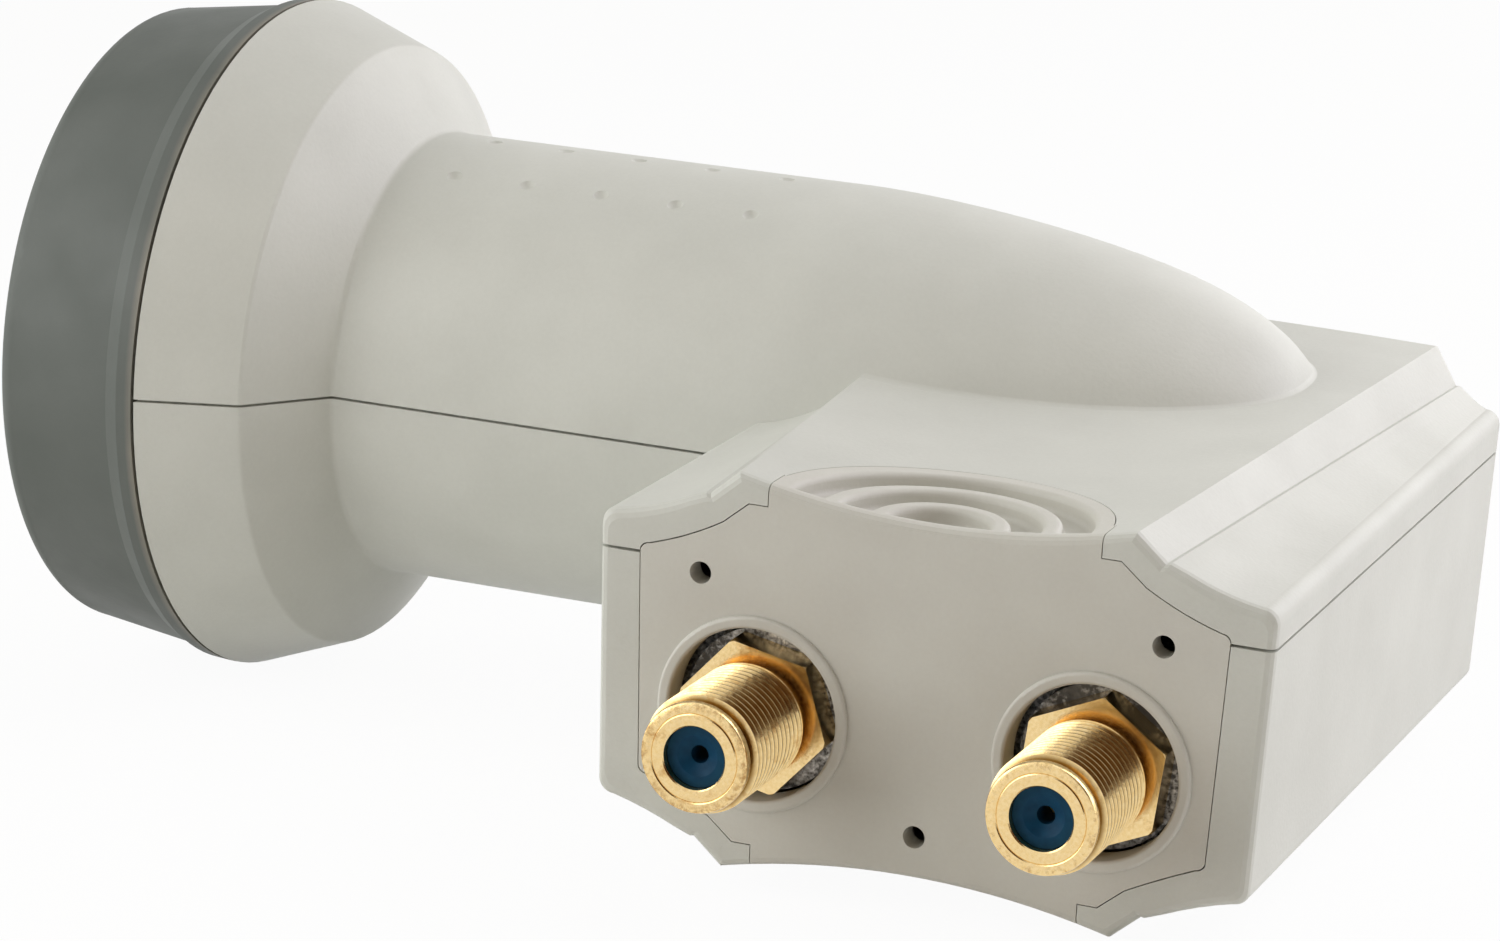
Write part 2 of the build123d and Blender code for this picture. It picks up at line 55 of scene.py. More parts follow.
# %% [markdown]
# ## The camera
# The picture was taken from the socket side, a little from the right and from above, with a long
# lens. Three angles, a distance and a point to look at describe that. They come from fitting a
# camera to the straight edges and circles of the object, so no shift is needed. The camera is
# also rolled by three degrees, because the part lies tilted on its cap and its housing.

# %% Place the camera
side_turn = math.radians(21.37)
look_down = math.radians(14.69)
roll = math.radians(2.97)
camera_far = 423.33 * MM
look_at = Vector((11.96, 0.0, -6.48)) * MM
photo_width_px = 1500
focal_px = 4786.06
sensor_mm = 36.0

toward = Vector((math.sin(side_turn) * math.cos(look_down),
                 -math.cos(side_turn) * math.cos(look_down), math.sin(look_down)))
level = Vector((math.cos(side_turn), math.sin(side_turn), 0.0))
upright = toward.cross(level)
right = math.cos(roll) * level + math.sin(roll) * upright
up = math.cos(roll) * upright - math.sin(roll) * level

bpy.ops.object.select_all(action="DESELECT")
bpy.ops.object.camera_add()
camera = bpy.context.object
camera.name = "photo_camera"
turn = Matrix((right, up, toward)).transposed().to_4x4()
camera.matrix_world = Matrix.Translation(look_at + toward * camera_far) @ turn
camera.data.sensor_width = sensor_mm
camera.data.lens = focal_px * sensor_mm / photo_width_px
camera.data.clip_start = 0.01
camera.data.clip_end = 20.0
scene.camera = camera
print("camera at", [round(v / MM, 1) for v in camera.location], "lens", round(camera.data.lens, 1))

# %% [markdown]
# ## Colours and nodes
# Colours are written the way a colour picker shows them, as sRGB hex values. Blender's shaders
# work in linear light, so one function converts them. A second small function adds a node,
# sets its settings, and fills or links its inputs, which keeps every material short to read.

# %% Two helpers for materials
def linear(code):
    """Linear RGBA of an sRGB hex colour."""
    parts = [int(code[i:i + 2], 16) / 255 for i in (1, 3, 5)]
    return [v / 12.92 if v <= 0.04045 else ((v + 0.055) / 1.055) ** 2.4 for v in parts] + [1.0]


def add(tree, kind, inputs=None, **settings):
    """New node of a kind, with its settings, and its inputs given as values or as sockets to link."""
    node = tree.nodes.new(kind)
    for name, value in settings.items():
        setattr(node, name, value)
    for name, value in (inputs or {}).items():
        if isinstance(value, bpy.types.NodeSocket):
            tree.links.new(value, node.inputs[name])
        else:
            node.inputs[name].default_value = value
    return node


def start_material(name):
    """New material with its node tree, its Principled shader and a Texture Coordinate node."""
    material = bpy.data.materials.new(name)
    material.use_nodes = True
    tree = material.node_tree
    shader = tree.nodes["Principled BSDF"]
    where = add(tree, "ShaderNodeTexCoord").outputs["Object"]
    return material, tree, shader, where


def finish_node(node, material):
    """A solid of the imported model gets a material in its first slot."""
    mesh = solids[node].data
    mesh.materials.clear()
    mesh.materials.append(material)


print("half grey, #808080, is", round(linear("#808080")[0], 3), "in linear light")

# %% [markdown]
# ## Floor
# The part lies on a white sweep, on the rim of its cap and the lower edge of its housing. In
# the part's own frame that surface is slightly tilted, so the plane's corners are set on a slope.

# %% Lay the floor
floor_width = 6.0
floor_slope_x = 0.0495
floor_slope_y = -0.0216
floor_drop = -28.95 * MM
bpy.ops.object.select_all(action="DESELECT")
bpy.ops.mesh.primitive_plane_add(size=floor_width)
floor = bpy.context.object
floor.name = "white_sweep"
bpy.ops.object.mode_set(mode="EDIT")
bpy.ops.mesh.subdivide(number_cuts=3)
bpy.ops.object.mode_set(mode="OBJECT")
for corner in floor.data.vertices:
    corner.co.z = floor_drop + floor_slope_x * corner.co.x + floor_slope_y * corner.co.y
print("floor:", floor.name, "tilted", round(math.degrees(math.atan(floor_slope_x)), 2), "degrees along X")

# %% [markdown]
# ## Paper
# To the camera the sweep is mostly white by itself, so that it stays white. The rest of it is
# ordinary diffuse white, which still takes the object's soft shadow. A Light Path node tells
# the rays that look at the sweep, or mirror it, from those that only light the part.

# %% White paper for the floor
white_share = 0.95
paper = bpy.data.materials.new("matt_white_paper_sweep")
paper.use_nodes = True
tree = paper.node_tree
tree.nodes.clear()
rays = add(tree, "ShaderNodeLightPath")
seen = add(tree, "ShaderNodeMath", {0: rays.outputs["Is Camera Ray"], 1: rays.outputs["Is Glossy Ray"]},
           operation="MAXIMUM")
seen = add(tree, "ShaderNodeMath", {0: seen.outputs[0], 1: rays.outputs["Is Transmission Ray"]},
           operation="MAXIMUM")
share = add(tree, "ShaderNodeMath", {0: seen.outputs[0], 1: white_share}, operation="MULTIPLY")
diffuse = add(tree, "ShaderNodeBsdfDiffuse", {"Color": linear("#f4f4f2")})
white = add(tree, "ShaderNodeEmission", {"Color": linear("#ffffff"), "Strength": 1.0})
mix = add(tree, "ShaderNodeMixShader", {0: share.outputs[0], 1: diffuse.outputs[0], 2: white.outputs[0]})
add(tree, "ShaderNodeOutputMaterial", {"Surface": mix.outputs[0]})
floor.data.materials.append(paper)
print("floor finish:", paper.name, "white by itself:", white_share)

# %% [markdown]
# ## Studio light
# The flare, the neck and the left of the socket plate catch a large light from the left and the
# front. The right face gets a low light of its own, and the tops get soft light from above, from
# the right and from behind, with one small box near the housing's far corner. The surfaces that
# face the right front stay in soft shade. Area lamps give soft edges because they are large.

# %% Hang the lamps
def aim(thing, direction, far):
    """Puts a thing at a distance in a direction from the part, with its face turned to the part."""
    ray = Vector(direction).normalized()
    thing.location = look_at + ray * far
    thing.rotation_euler = ray.to_track_quat("Z", "Y").to_euler()


def soft_box(name, direction, far, width, watts, tint):
    """Square area lamp that shines at the part from a direction."""
    bpy.ops.object.select_all(action="DESELECT")
    bpy.ops.object.light_add(type="AREA")
    lamp = bpy.context.object
    lamp.name = name
    lamp.data.shape = "SQUARE"
    lamp.data.size = width
    lamp.data.energy = watts
    lamp.data.color = linear(tint)[:3]
    aim(lamp, direction, far)
    lamp.visible_camera = False


soft_box("soft_box_right", (0.84, 0.55, 0.55), 0.5, 0.35, 0.74, "#ecebff")
soft_box("soft_box_top", (-0.20, 0.25, 1.0), 0.8, 0.6, 0.37, "#dffaff")
soft_box("soft_box_left", (-0.80, -0.60, 0.34), 0.34, 0.36, 0.93, "#fcfeff")
soft_box("soft_box_back", (0.30, 0.85, 0.45), 0.6, 0.4, 0.77, "#ffffff")
soft_box("low_box_right", (1.0, -0.10, 0.10), 0.5, 0.3, 0.6, "#ffffff")
soft_box("small_box_above", (0.62, 0.10, 0.78), 0.26, 0.16, 0.173, "#fffcff")

# %% [markdown]
# ## A dark flag
# A brown felt flag hangs on the camera's side, as in a real studio. It keeps that side dim, and
# the gold sockets mirror it as a dark streak, without which polished metal looks flat. The flag
# is hidden from camera rays.

# %% Hang the felt flag
flag_width = 1.3
flag_far = 1.0
bpy.ops.object.select_all(action="DESELECT")
bpy.ops.mesh.primitive_plane_add(size=flag_width)
flag = bpy.context.object
flag.name = "felt_flag"
aim(flag, (0.62, -0.75, 0.38), flag_far)
flag.visible_camera = False
felt = bpy.data.materials.new("brown_felt_flag")
felt.use_nodes = True
shader = felt.node_tree.nodes["Principled BSDF"]
shader.inputs["Base Color"].default_value = linear("#7a5428")
shader.inputs["Roughness"].default_value = 1.0
flag.data.materials.append(felt)
print("flag:", flag.name, "in", felt.name)

# %% [markdown]
# ## The room
# The world is white to the camera and in mirrors. For all other rays it is a weak warm fill, so
# that the shadows on the part aren't black. The Standard view shows colours as they are.

# %% Light the room
room_fill = 0.35
world = bpy.data.worlds.new("studio_room")
scene.world = world
world.use_nodes = True
tree = world.node_tree
tree.nodes.clear()
rays = add(tree, "ShaderNodeLightPath")
seen = add(tree, "ShaderNodeMath", {0: rays.outputs["Is Camera Ray"], 1: rays.outputs["Is Glossy Ray"]},
           operation="MAXIMUM")
seen = add(tree, "ShaderNodeMath", {0: seen.outputs[0], 1: rays.outputs["Is Transmission Ray"]},
           operation="MAXIMUM")
room = add(tree, "ShaderNodeBackground", {"Color": linear("#fbf0dc"), "Strength": room_fill})
backdrop = add(tree, "ShaderNodeBackground", {"Color": linear("#ffffff"), "Strength": 1.0})
choice = add(tree, "ShaderNodeMixShader", {0: seen.outputs[0], 1: room.outputs[0], 2: backdrop.outputs[0]})
add(tree, "ShaderNodeOutputWorld", {"Surface": choice.outputs[0]})
scene.view_settings.view_transform = "Standard"
print("room:", world.name, "fill", room_fill)

# %% [markdown]
# ## Moulded housing plastic
# The housing is ASA, an outdoor plastic, injection moulded in a light warm grey. The steel mould
# was spark eroded, which leaves a fine even grain of about a third of a millimetre, so the plastic
# looks matt with a soft sheen. Weather and mould flow add faint clouds a centimetre wide. The
# grain is a noise turned into bump, and the clouds change the colour and the roughness a little.

# %% Moulded ASA for the shells and the plate
grain_depth = 0.05 * MM
grain_share = 0.35
gloss_spread = 0.05


def moulded_plastic(name, light, dark, grain_mm, cloud_mm, rough, bump):
    """Injection moulded plastic with spark-eroded grain and faint flow clouds."""
    material, tree, shader, where = start_material(name)
    clouds = add(tree, "ShaderNodeTexNoise", {"Vector": where, "Scale": 1 / (cloud_mm * MM), "Detail": 3.0})
    grain = add(tree, "ShaderNodeTexNoise", {"Vector": where, "Scale": 1 / (grain_mm * MM), "Detail": 2.0,
                                             "Roughness": 0.6})
    blend = add(tree, "ShaderNodeMath", {0: grain.outputs["Fac"], 1: grain_share, 2: clouds.outputs["Fac"]},
                operation="MULTIPLY_ADD")
    colour = add(tree, "ShaderNodeValToRGB", {"Fac": blend.outputs[0]})
    colour.color_ramp.elements[0].position = 0.42
    colour.color_ramp.elements[0].color = linear(dark)
    colour.color_ramp.elements[1].position = 0.92
    colour.color_ramp.elements[1].color = linear(light)
    gloss = add(tree, "ShaderNodeMapRange", {"Value": blend.outputs[0], "From Min": 0.4, "From Max": 0.9,
                                             "To Min": rough + gloss_spread,
                                             "To Max": rough - gloss_spread})
    relief = add(tree, "ShaderNodeBump", {"Height": grain.outputs["Fac"], "Strength": bump,
                                          "Distance": grain_depth})
    tree.links.new(colour.outputs["Color"], shader.inputs["Base Color"])
    tree.links.new(gloss.outputs["Result"], shader.inputs["Roughness"])
    tree.links.new(relief.outputs["Normal"], shader.inputs["Normal"])
    shader.inputs["IOR"].default_value = 1.5
    return material


shell_asa = moulded_plastic("asa_moulded_light_grey", "#d1d2cb", "#c9cac3", 0.38, 11.0, 0.5, 0.35)
plate_asa = moulded_plastic("asa_moulded_plate_grey", "#d0cfc7", "#c9c7bf", 0.38, 9.0, 0.52, 0.3)
for node in ("upper_shell", "lower_shell"):
    finish_node(node, shell_asa)
finish_node("end_plate", plate_asa)
print("plastics:", shell_asa.name, plate_asa.name)

# %% [markdown]
# ## Cap plastic
# The cap is polypropylene, which lets the signal through. It is mid grey with the same kind of
# grain and a little duller, and the clouds change its gloss. Its rim rubs on hands and tools, and
# the very edge next to the housing gets a pale brown line: partly a scuff, partly a painted
# highlight on the rim's edge. That edge is at one place along the object's X axis, so the material
# reads the object's own X coordinate and breaks the pale line up with noise.

# %% Moulded polypropylene for the cap
cap_pp, tree, shader, where = start_material("polypropylene_moulded_mid_grey")
rim_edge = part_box("feed_cap")[1].x
rim_line_start = rim_edge - 0.7 * MM
rim_line_full = rim_edge - 0.1 * MM
grain = add(tree, "ShaderNodeTexNoise", {"Vector": where, "Scale": 1 / (0.45 * MM), "Detail": 2.0})
clouds = add(tree, "ShaderNodeTexNoise", {"Vector": where, "Scale": 1 / (7.0 * MM), "Detail": 4.0})
split = add(tree, "ShaderNodeSeparateXYZ", {"Vector": where})
# Pale brown line on the rim's very edge: a scuff and a painted highlight in one
near_rim = add(tree, "ShaderNodeMapRange", {"Value": split.outputs["X"], "From Min": rim_line_start,
                                            "From Max": rim_line_full, "To Min": 0.0, "To Max": 1.0})
scuff_and_highlight = add(tree, "ShaderNodeMath", {0: near_rim.outputs["Result"], 1: clouds.outputs["Fac"]},
            operation="MULTIPLY")
tone = add(tree, "ShaderNodeMixRGB", {"Fac": clouds.outputs["Fac"], "Color1": linear("#4f544f"),
                                      "Color2": linear("#595d58")})
scuffed_and_lit_rim = add(tree, "ShaderNodeMixRGB", {"Fac": scuff_and_highlight.outputs[0], "Color1": tone.outputs[0],
                                      "Color2": linear("#8a8275")})
gloss = add(tree, "ShaderNodeMapRange", {"Value": clouds.outputs["Fac"], "From Min": 0.3, "From Max": 0.7,
                                         "To Min": 0.64, "To Max": 0.52})
relief = add(tree, "ShaderNodeBump", {"Height": grain.outputs["Fac"], "Strength": 0.3,
                                      "Distance": grain_depth})
tree.links.new(scuffed_and_lit_rim.outputs[0], shader.inputs["Base Color"])
tree.links.new(gloss.outputs["Result"], shader.inputs["Roughness"])
tree.links.new(relief.outputs["Normal"], shader.inputs["Normal"])
shader.inputs["IOR"].default_value = 1.49
finish_node("feed_cap", cap_pp)
print("cap:", cap_pp.name, "scuffed from x =", round(rim_line_start / MM, 2), "mm")

# %% [markdown]
# ## Die-cast metal
# Behind the plate, a die casting carries the horn and the sockets. Die-cast aluminium is dull,
# with flow speckles and small pits, and tarnishes dark in corners. It is a metal, so it keeps the
# default IOR, and the pattern drives colour, roughness and bump.

# %% Die-cast aluminium
cast_metal, tree, shader, where = start_material("aluminium_die_cast_dull")
speckle = add(tree, "ShaderNodeTexNoise", {"Vector": where, "Scale": 1 / (0.4 * MM), "Detail": 4.0,
                                           "Roughness": 0.65})
patches = add(tree, "ShaderNodeTexNoise", {"Vector": where, "Scale": 1 / (3.5 * MM), "Detail": 3.0})
both = add(tree, "ShaderNodeMath", {0: speckle.outputs["Fac"], 1: patches.outputs["Fac"]},
           operation="MULTIPLY")
tone = add(tree, "ShaderNodeValToRGB", {"Fac": both.outputs[0]})
tone.color_ramp.elements[0].position = 0.2
tone.color_ramp.elements[0].color = linear("#62605d")
tone.color_ramp.elements[1].position = 0.4
tone.color_ramp.elements[1].color = linear("#e9e7e3")
gloss = add(tree, "ShaderNodeMapRange", {"Value": speckle.outputs["Fac"], "From Min": 0.3, "From Max": 0.7,
                                         "To Min": 0.66, "To Max": 0.4})
relief = add(tree, "ShaderNodeBump", {"Height": both.outputs[0], "Strength": 0.5, "Distance": 0.15 * MM})
tree.links.new(tone.outputs["Color"], shader.inputs["Base Color"])
tree.links.new(gloss.outputs["Result"], shader.inputs["Roughness"])
tree.links.new(relief.outputs["Normal"], shader.inputs["Normal"])
shader.inputs["Metallic"].default_value = 1.0
for node in ("chassis", "shield_lid"):
    finish_node(node, cast_metal)
print("casting:", cast_metal.name)

# %% [markdown]
# ## Blue insulator
# The F socket's centre hole is in an insulator of deep blue acetal, turned and slightly waxy. Fine
# turning marks about a fifth of a millimetre apart run round the hole; here a soft noise gives
# the same broken gloss.

# %% Turned blue acetal
blue_acetal, tree, shader, where = start_material("acetal_turned_deep_blue")
mottle = add(tree, "ShaderNodeTexNoise", {"Vector": where, "Scale": 1 / (0.8 * MM), "Detail": 3.0})
tone = add(tree, "ShaderNodeMixRGB", {"Fac": mottle.outputs["Fac"], "Color1": linear("#06304a"),
                                      "Color2": linear("#084565")})
gloss = add(tree, "ShaderNodeMapRange", {"Value": mottle.outputs["Fac"], "From Min": 0.3, "From Max": 0.7,
                                         "To Min": 0.56, "To Max": 0.44})
relief = add(tree, "ShaderNodeBump", {"Height": mottle.outputs["Fac"], "Strength": 0.15,
                                      "Distance": grain_depth})
tree.links.new(tone.outputs[0], shader.inputs["Base Color"])
tree.links.new(gloss.outputs["Result"], shader.inputs["Roughness"])
tree.links.new(relief.outputs["Normal"], shader.inputs["Normal"])
shader.inputs["IOR"].default_value = 1.42
shader.inputs["Specular IOR Level"].default_value = 0.2
for node in ("socket_insulator_left", "socket_insulator_right"):
    finish_node(node, blue_acetal)
print("insulators:", blue_acetal.name)

# %% [markdown]
# ## Finishes inside the housing
# Closed pieces get real finishes too, so that the part can be opened up later: green solder mask
# on glass laminate, black moulded resin for the chips, zinc-plated steel for the screws and the
# crystal's can, brass for the probes and contacts, white PTFE bushes and a black rubber seal.

# %% One function for the inner finishes
inner_gloss_spread = 0.06


def inner_finish(name, light, dark, spot_mm, rough, metallic, ior=1.5):
    """Two-tone finish with a mottle of a given size and a matching bump."""
    material, tree, shader, where = start_material(name)
    mottle = add(tree, "ShaderNodeTexNoise", {"Vector": where, "Scale": 1 / (spot_mm * MM), "Detail": 3.0})
    tone = add(tree, "ShaderNodeMixRGB", {"Fac": mottle.outputs["Fac"], "Color1": linear(dark),
                                          "Color2": linear(light)})
    gloss = add(tree, "ShaderNodeMapRange", {"Value": mottle.outputs["Fac"], "From Min": 0.3, "From Max": 0.7,
                                             "To Min": rough + inner_gloss_spread,
                                             "To Max": rough - inner_gloss_spread})
    relief = add(tree, "ShaderNodeBump", {"Height": mottle.outputs["Fac"], "Strength": 0.2,
                                          "Distance": grain_depth})
    tree.links.new(tone.outputs[0], shader.inputs["Base Color"])
    tree.links.new(gloss.outputs["Result"], shader.inputs["Roughness"])
    tree.links.new(relief.outputs["Normal"], shader.inputs["Normal"])
    shader.inputs["Metallic"].default_value = metallic
    if metallic == 0.0:
        shader.inputs["IOR"].default_value = ior
    return material


inner = {
    "circuit_board": inner_finish("glass_laminate_solder_mask", "#2d7a45", "#245f37", 1.5, 0.35, 0.0),
    "converter_chip": inner_finish("epoxy_moulded_black", "#1c1c1d", "#141415", 0.3, 0.55, 0.0),
    "lid_screws": inner_finish("steel_zinc_plated", "#c4c6c8", "#a9abad", 0.5, 0.32, 1.0),
    "probe_upright": inner_finish("brass_drawn_wire", "#d9bd6c", "#c5a655", 0.6, 0.3, 1.0),
    "probe_bushes": inner_finish("ptfe_turned_white", "#efeeea", "#e6e5e0", 1.0, 0.5, 0.0, 1.36),
    "cap_seal": inner_finish("nitrile_rubber_moulded", "#1b1b1b", "#121212", 0.4, 0.7, 0.0),
}
same = {"voltage_regulators": "converter_chip", "amplifier_chips": "converter_chip",
        "clock_crystal": "lid_screws", "probe_cross": "probe_upright",
        "centre_contact_left": "probe_upright", "centre_contact_right": "probe_upright"}
for node, material in inner.items():
    finish_node(node, material)
for node, like in same.items():
    finish_node(node, inner[like])
print("inner finishes:", len(inner), "on", len(inner) + len(same), "solids")

# %% [markdown]
# ## The F sockets
# An F socket is turned from brass bar and gold plated. From the front it has a flat face with a
# bore and a thin ring mark, a chamfer, a short plain lead, a relief groove, a 3/8 inch thread with
# 32 turns to the inch, an undercut and a hexagon. The solid has the thread's outside only, so the
# scene makes the real one. Its radii come first, then its places along Y, from the tip inwards.

# %% Sizes of a socket
socket_x = {"left": 33.02 * MM, "right": 60.68 * MM}
socket_z = -11.91 * MM
thread_pitch = 25.4 / 32 * MM
thread_depth = 0.47 * MM
thread_r = 4.75 * MM
thread_root = thread_r - thread_depth
bore_r = 2.5 * MM
mark_r = 3.5 * MM
face_r = 4.15 * MM
lead_r = 4.38 * MM
relief_r = 4.1 * MM
undercut_r = 4.15 * MM
shank_r = 4.0 * MM
tip_y = -62.45 * MM
lead_y = tip_y + 0.22 * MM
lead_end_y = lead_y + 0.45 * MM
relief_y = lead_end_y + 0.15 * MM
relief_end_y = relief_y + 0.45 * MM
thread_y = relief_end_y + 0.15 * MM
hex_front_y = -50.75 * MM
hex_back_y = -48.0 * MM
hex_mid_y = (hex_front_y + hex_back_y) / 2
undercut_y = hex_front_y - 1.0 * MM
rim_y = undercut_y - 0.3 * MM
thread_end_y = rim_y - 0.25 * MM
shank_end_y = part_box("socket_body_left")[1].y
thread_turns = (thread_end_y - thread_y) / thread_pitch
print("thread:", round(thread_turns, 1), "turns of", round(thread_pitch / MM, 3), "mm")

# %% [markdown]
# ## Turn the barrels
# A barrel is drawn as on a lathe: a ring is extruded along the axis and scaled from station to
# station. A station is a radius and a place along Y. The front runs from the bore's back end out
# to the face and over the lead and the relief groove. The tail starts at the rim behind the thread,
# goes over the undercut, and ends on the shank, where its last ring meets the front's first.

# %% Turn the barrels
ring_steps = 96
bore_chamfer = 0.1 * MM
mark_half = 0.09 * MM
mark_depth = 0.07 * MM
edge_r = face_r + 0.16 * MM
edge_y = tip_y + 0.07 * MM
tail_y = thread_end_y + 0.1 * MM
rim_end_y = rim_y + 0.12 * MM
front = [(bore_r, shank_end_y), (bore_r, tip_y + bore_chamfer), (bore_r + bore_chamfer, tip_y),
         (mark_r - mark_half, tip_y), (mark_r, tip_y + mark_depth), (mark_r + mark_half, tip_y),
         (face_r, tip_y), (edge_r, edge_y), (lead_r, lead_y), (lead_r, lead_end_y),
         (relief_r, relief_y), (relief_r, relief_end_y)]
tail = [(thread_root, tail_y), (thread_r, rim_y), (thread_r, rim_end_y), (undercut_r, undercut_y),
        (undercut_r, hex_mid_y), (shank_r, hex_mid_y), (shank_r, shank_end_y), (bore_r, shank_end_y)]


def turn_barrel(x, stations):
    """Skin of revolution about a socket's axis: a ring is extruded and scaled from station to station."""
    bpy.ops.object.select_all(action="DESELECT")
    r, y = stations[0]
    bpy.ops.mesh.primitive_circle_add(vertices=ring_steps, radius=r, location=(x, y, socket_z),
                                      rotation=(math.radians(90), 0, 0))
    barrel = bpy.context.object
    bpy.ops.object.transform_apply(location=True, rotation=True, scale=True)
    bpy.ops.object.mode_set(mode="EDIT")
    bpy.ops.mesh.select_all(action="SELECT")
    for r_new, y_new in stations[1:]:
        bpy.ops.mesh.extrude_edges_move(TRANSFORM_OT_translate={"value": (0, y_new - y, 0)})
        bpy.ops.transform.resize(value=(r_new / r, 1, r_new / r), center_override=(x, y_new, socket_z))
        r, y = r_new, y_new
    bpy.ops.object.mode_set(mode="OBJECT")
    return barrel


sockets = {side: turn_barrel(x, front) for side, x in socket_x.items()}
tails = {side: turn_barrel(x, tail) for side, x in socket_x.items()}
print("barrels:", len(sockets), "fronts of", len(front), "stations and", len(tails), "tails of", len(tail))

# %% [markdown]
# ## Cut the threads
# One tooth is drawn by extruding a point: up a flank, along the crest, down the other flank and
# along the root. A Screw modifier turns that line round the axis and moves it on by one pitch with
# each turn. The thread starts too early and ends too late, and two cuts across the axis trim it.

# %% Cut the threads
early_turns = 2.37
spare_turns = 5
flank = 0.37 * thread_pitch
crest = 0.16 * thread_pitch
root = thread_pitch - 2 * flank - crest
tooth = [(thread_depth, flank), (0, crest), (-thread_depth, flank), (0, root)]
weld_near = 0.002 * MM
cut_near = 0.0001 * MM


def edit_only(obj):
    """Selects one object alone and opens it in edit mode with nothing selected."""
    bpy.ops.object.select_all(action="DESELECT")
    obj.select_set(True)
    bpy.context.view_layer.objects.active = obj
    bpy.ops.object.mode_set(mode="EDIT")
    bpy.ops.mesh.select_mode(type="VERT")
    bpy.ops.mesh.select_all(action="DESELECT")


def draw_tooth():
    """Line of one tooth beside the axis, drawn from a plane that is merged to a point."""
    bpy.ops.object.select_all(action="DESELECT")
    bpy.ops.mesh.primitive_plane_add(size=1 * MM, location=(0, 0, 0))
    line = bpy.context.object
    bpy.ops.object.mode_set(mode="EDIT")
    bpy.ops.mesh.select_all(action="SELECT")
    bpy.ops.mesh.merge(type="CENTER")
    bpy.ops.transform.translate(value=(thread_root, thread_y - early_turns * thread_pitch, 0))
    for dx, dy in tooth:
        bpy.ops.mesh.extrude_vertices_move(TRANSFORM_OT_translate={"value": (dx, dy, 0)})
    bpy.ops.object.mode_set(mode="OBJECT")
    return line


def cut_thread(x):
    """A tooth is turned along a screw path, trimmed at both ends and moved to its socket."""
    thread = draw_tooth()
    path = thread.modifiers.new("screw_path", "SCREW")
    path.axis = "Y"
    path.angle = 2 * math.pi
    path.screw_offset = thread_pitch
    path.iterations = int(thread_turns) + spare_turns
    path.steps = path.render_steps = ring_steps
    path.use_smooth_shade = False
    bpy.ops.object.modifier_apply(modifier=path.name)
    edit_only(thread)
    bpy.ops.mesh.select_all(action="SELECT")
    bpy.ops.mesh.remove_doubles(threshold=weld_near)
    bpy.ops.mesh.bisect(plane_co=(0, thread_y, 0), plane_no=(0, 1, 0), clear_inner=True,
                        threshold=cut_near)
    bpy.ops.mesh.select_all(action="SELECT")
    bpy.ops.mesh.bisect(plane_co=(0, thread_end_y, 0), plane_no=(0, 1, 0), clear_outer=True,
                        threshold=cut_near)
    bpy.ops.mesh.select_all(action="SELECT")
    bpy.ops.transform.translate(value=(x, 0, socket_z))
    bpy.ops.object.mode_set(mode="OBJECT")
    return thread


threads = {side: cut_thread(x) for side, x in socket_x.items()}
print("threads:", {side: len(thread.data.polygons) for side, thread in threads.items()}, "faces")

# %% [markdown]
# ## Close the skin
# Front, tail and thread become one mesh. Between them are two gaps, each with an open ring on both
# sides. Bridging the two rings fills a gap. Then the rings that meet are welded, and the faces are
# turned outward.

# %% Close the skin
ring_near = 0.001 * MM


def join_pieces(first, second):
    """Second becomes part of first."""
    bpy.ops.object.select_all(action="DESELECT")
    second.select_set(True)
    first.select_set(True)
    bpy.context.view_layer.objects.active = first
    bpy.ops.object.join()


def bridge_gap(piece, y0, y1):
    """Closes the gap between two open rings that lie at y0 and y1."""
    edit_only(piece)
    bpy.ops.mesh.select_mode(type="EDGE")
    shape = bmesh.from_edit_mesh(piece.data)
    for edge in shape.edges:
        ys = [v.co.y for v in edge.verts]
        on_ring = any(all(abs(y - at) < ring_near for y in ys) for at in (y0, y1))
        edge.select = edge.is_boundary and on_ring
    bmesh.update_edit_mesh(piece.data)
    bpy.ops.mesh.bridge_edge_loops()
    bpy.ops.object.mode_set(mode="OBJECT")


for side, socket in sockets.items():
    join_pieces(socket, tails[side])
    join_pieces(socket, threads[side])
    bridge_gap(socket, relief_end_y, thread_y)
    bridge_gap(socket, thread_end_y, tail_y)
    edit_only(socket)
    bpy.ops.mesh.select_all(action="SELECT")
    bpy.ops.mesh.remove_doubles(threshold=ring_near)
    bpy.ops.mesh.normals_make_consistent(inside=False)
    bpy.ops.object.mode_set(mode="OBJECT")
    print("skin", side, "has", len(socket.data.polygons), "faces")

# %% [markdown]
# ## Add the hexagons
# The hexagon is a six-sided bar whose front is turned on the lathe, so its corners are cut by a
# cone. Each socket was tightened to its own angle. A boolean union makes the barrel and the
# hexagon one solid piece. In a closed skin every edge has two faces, so other edges are counted.

# %% Add the hexagons
hex_turn = {"left": math.radians(48.5), "right": math.radians(24.0)}
hex_af = 11.0 * MM
hex_corner_r = hex_af / 2 / math.cos(math.pi / 6)
cone_steps = 144
cone_wide = hex_af * 0.9
cone_narrow = hex_af * 0.565
cone_length = 4.5 * MM
smooth_below = math.radians(28)


def combine(piece, tool, operation):
    """Boolean of a piece with a tool, which is then deleted."""
    bpy.ops.object.select_all(action="DESELECT")
    piece.select_set(True)
    bpy.context.view_layer.objects.active = piece
    step = piece.modifiers.new("combine", "BOOLEAN")
    step.operation = operation
    step.solver = "EXACT"
    step.object = tool
    bpy.ops.object.modifier_apply(modifier=step.name)
    bpy.data.objects.remove(tool)


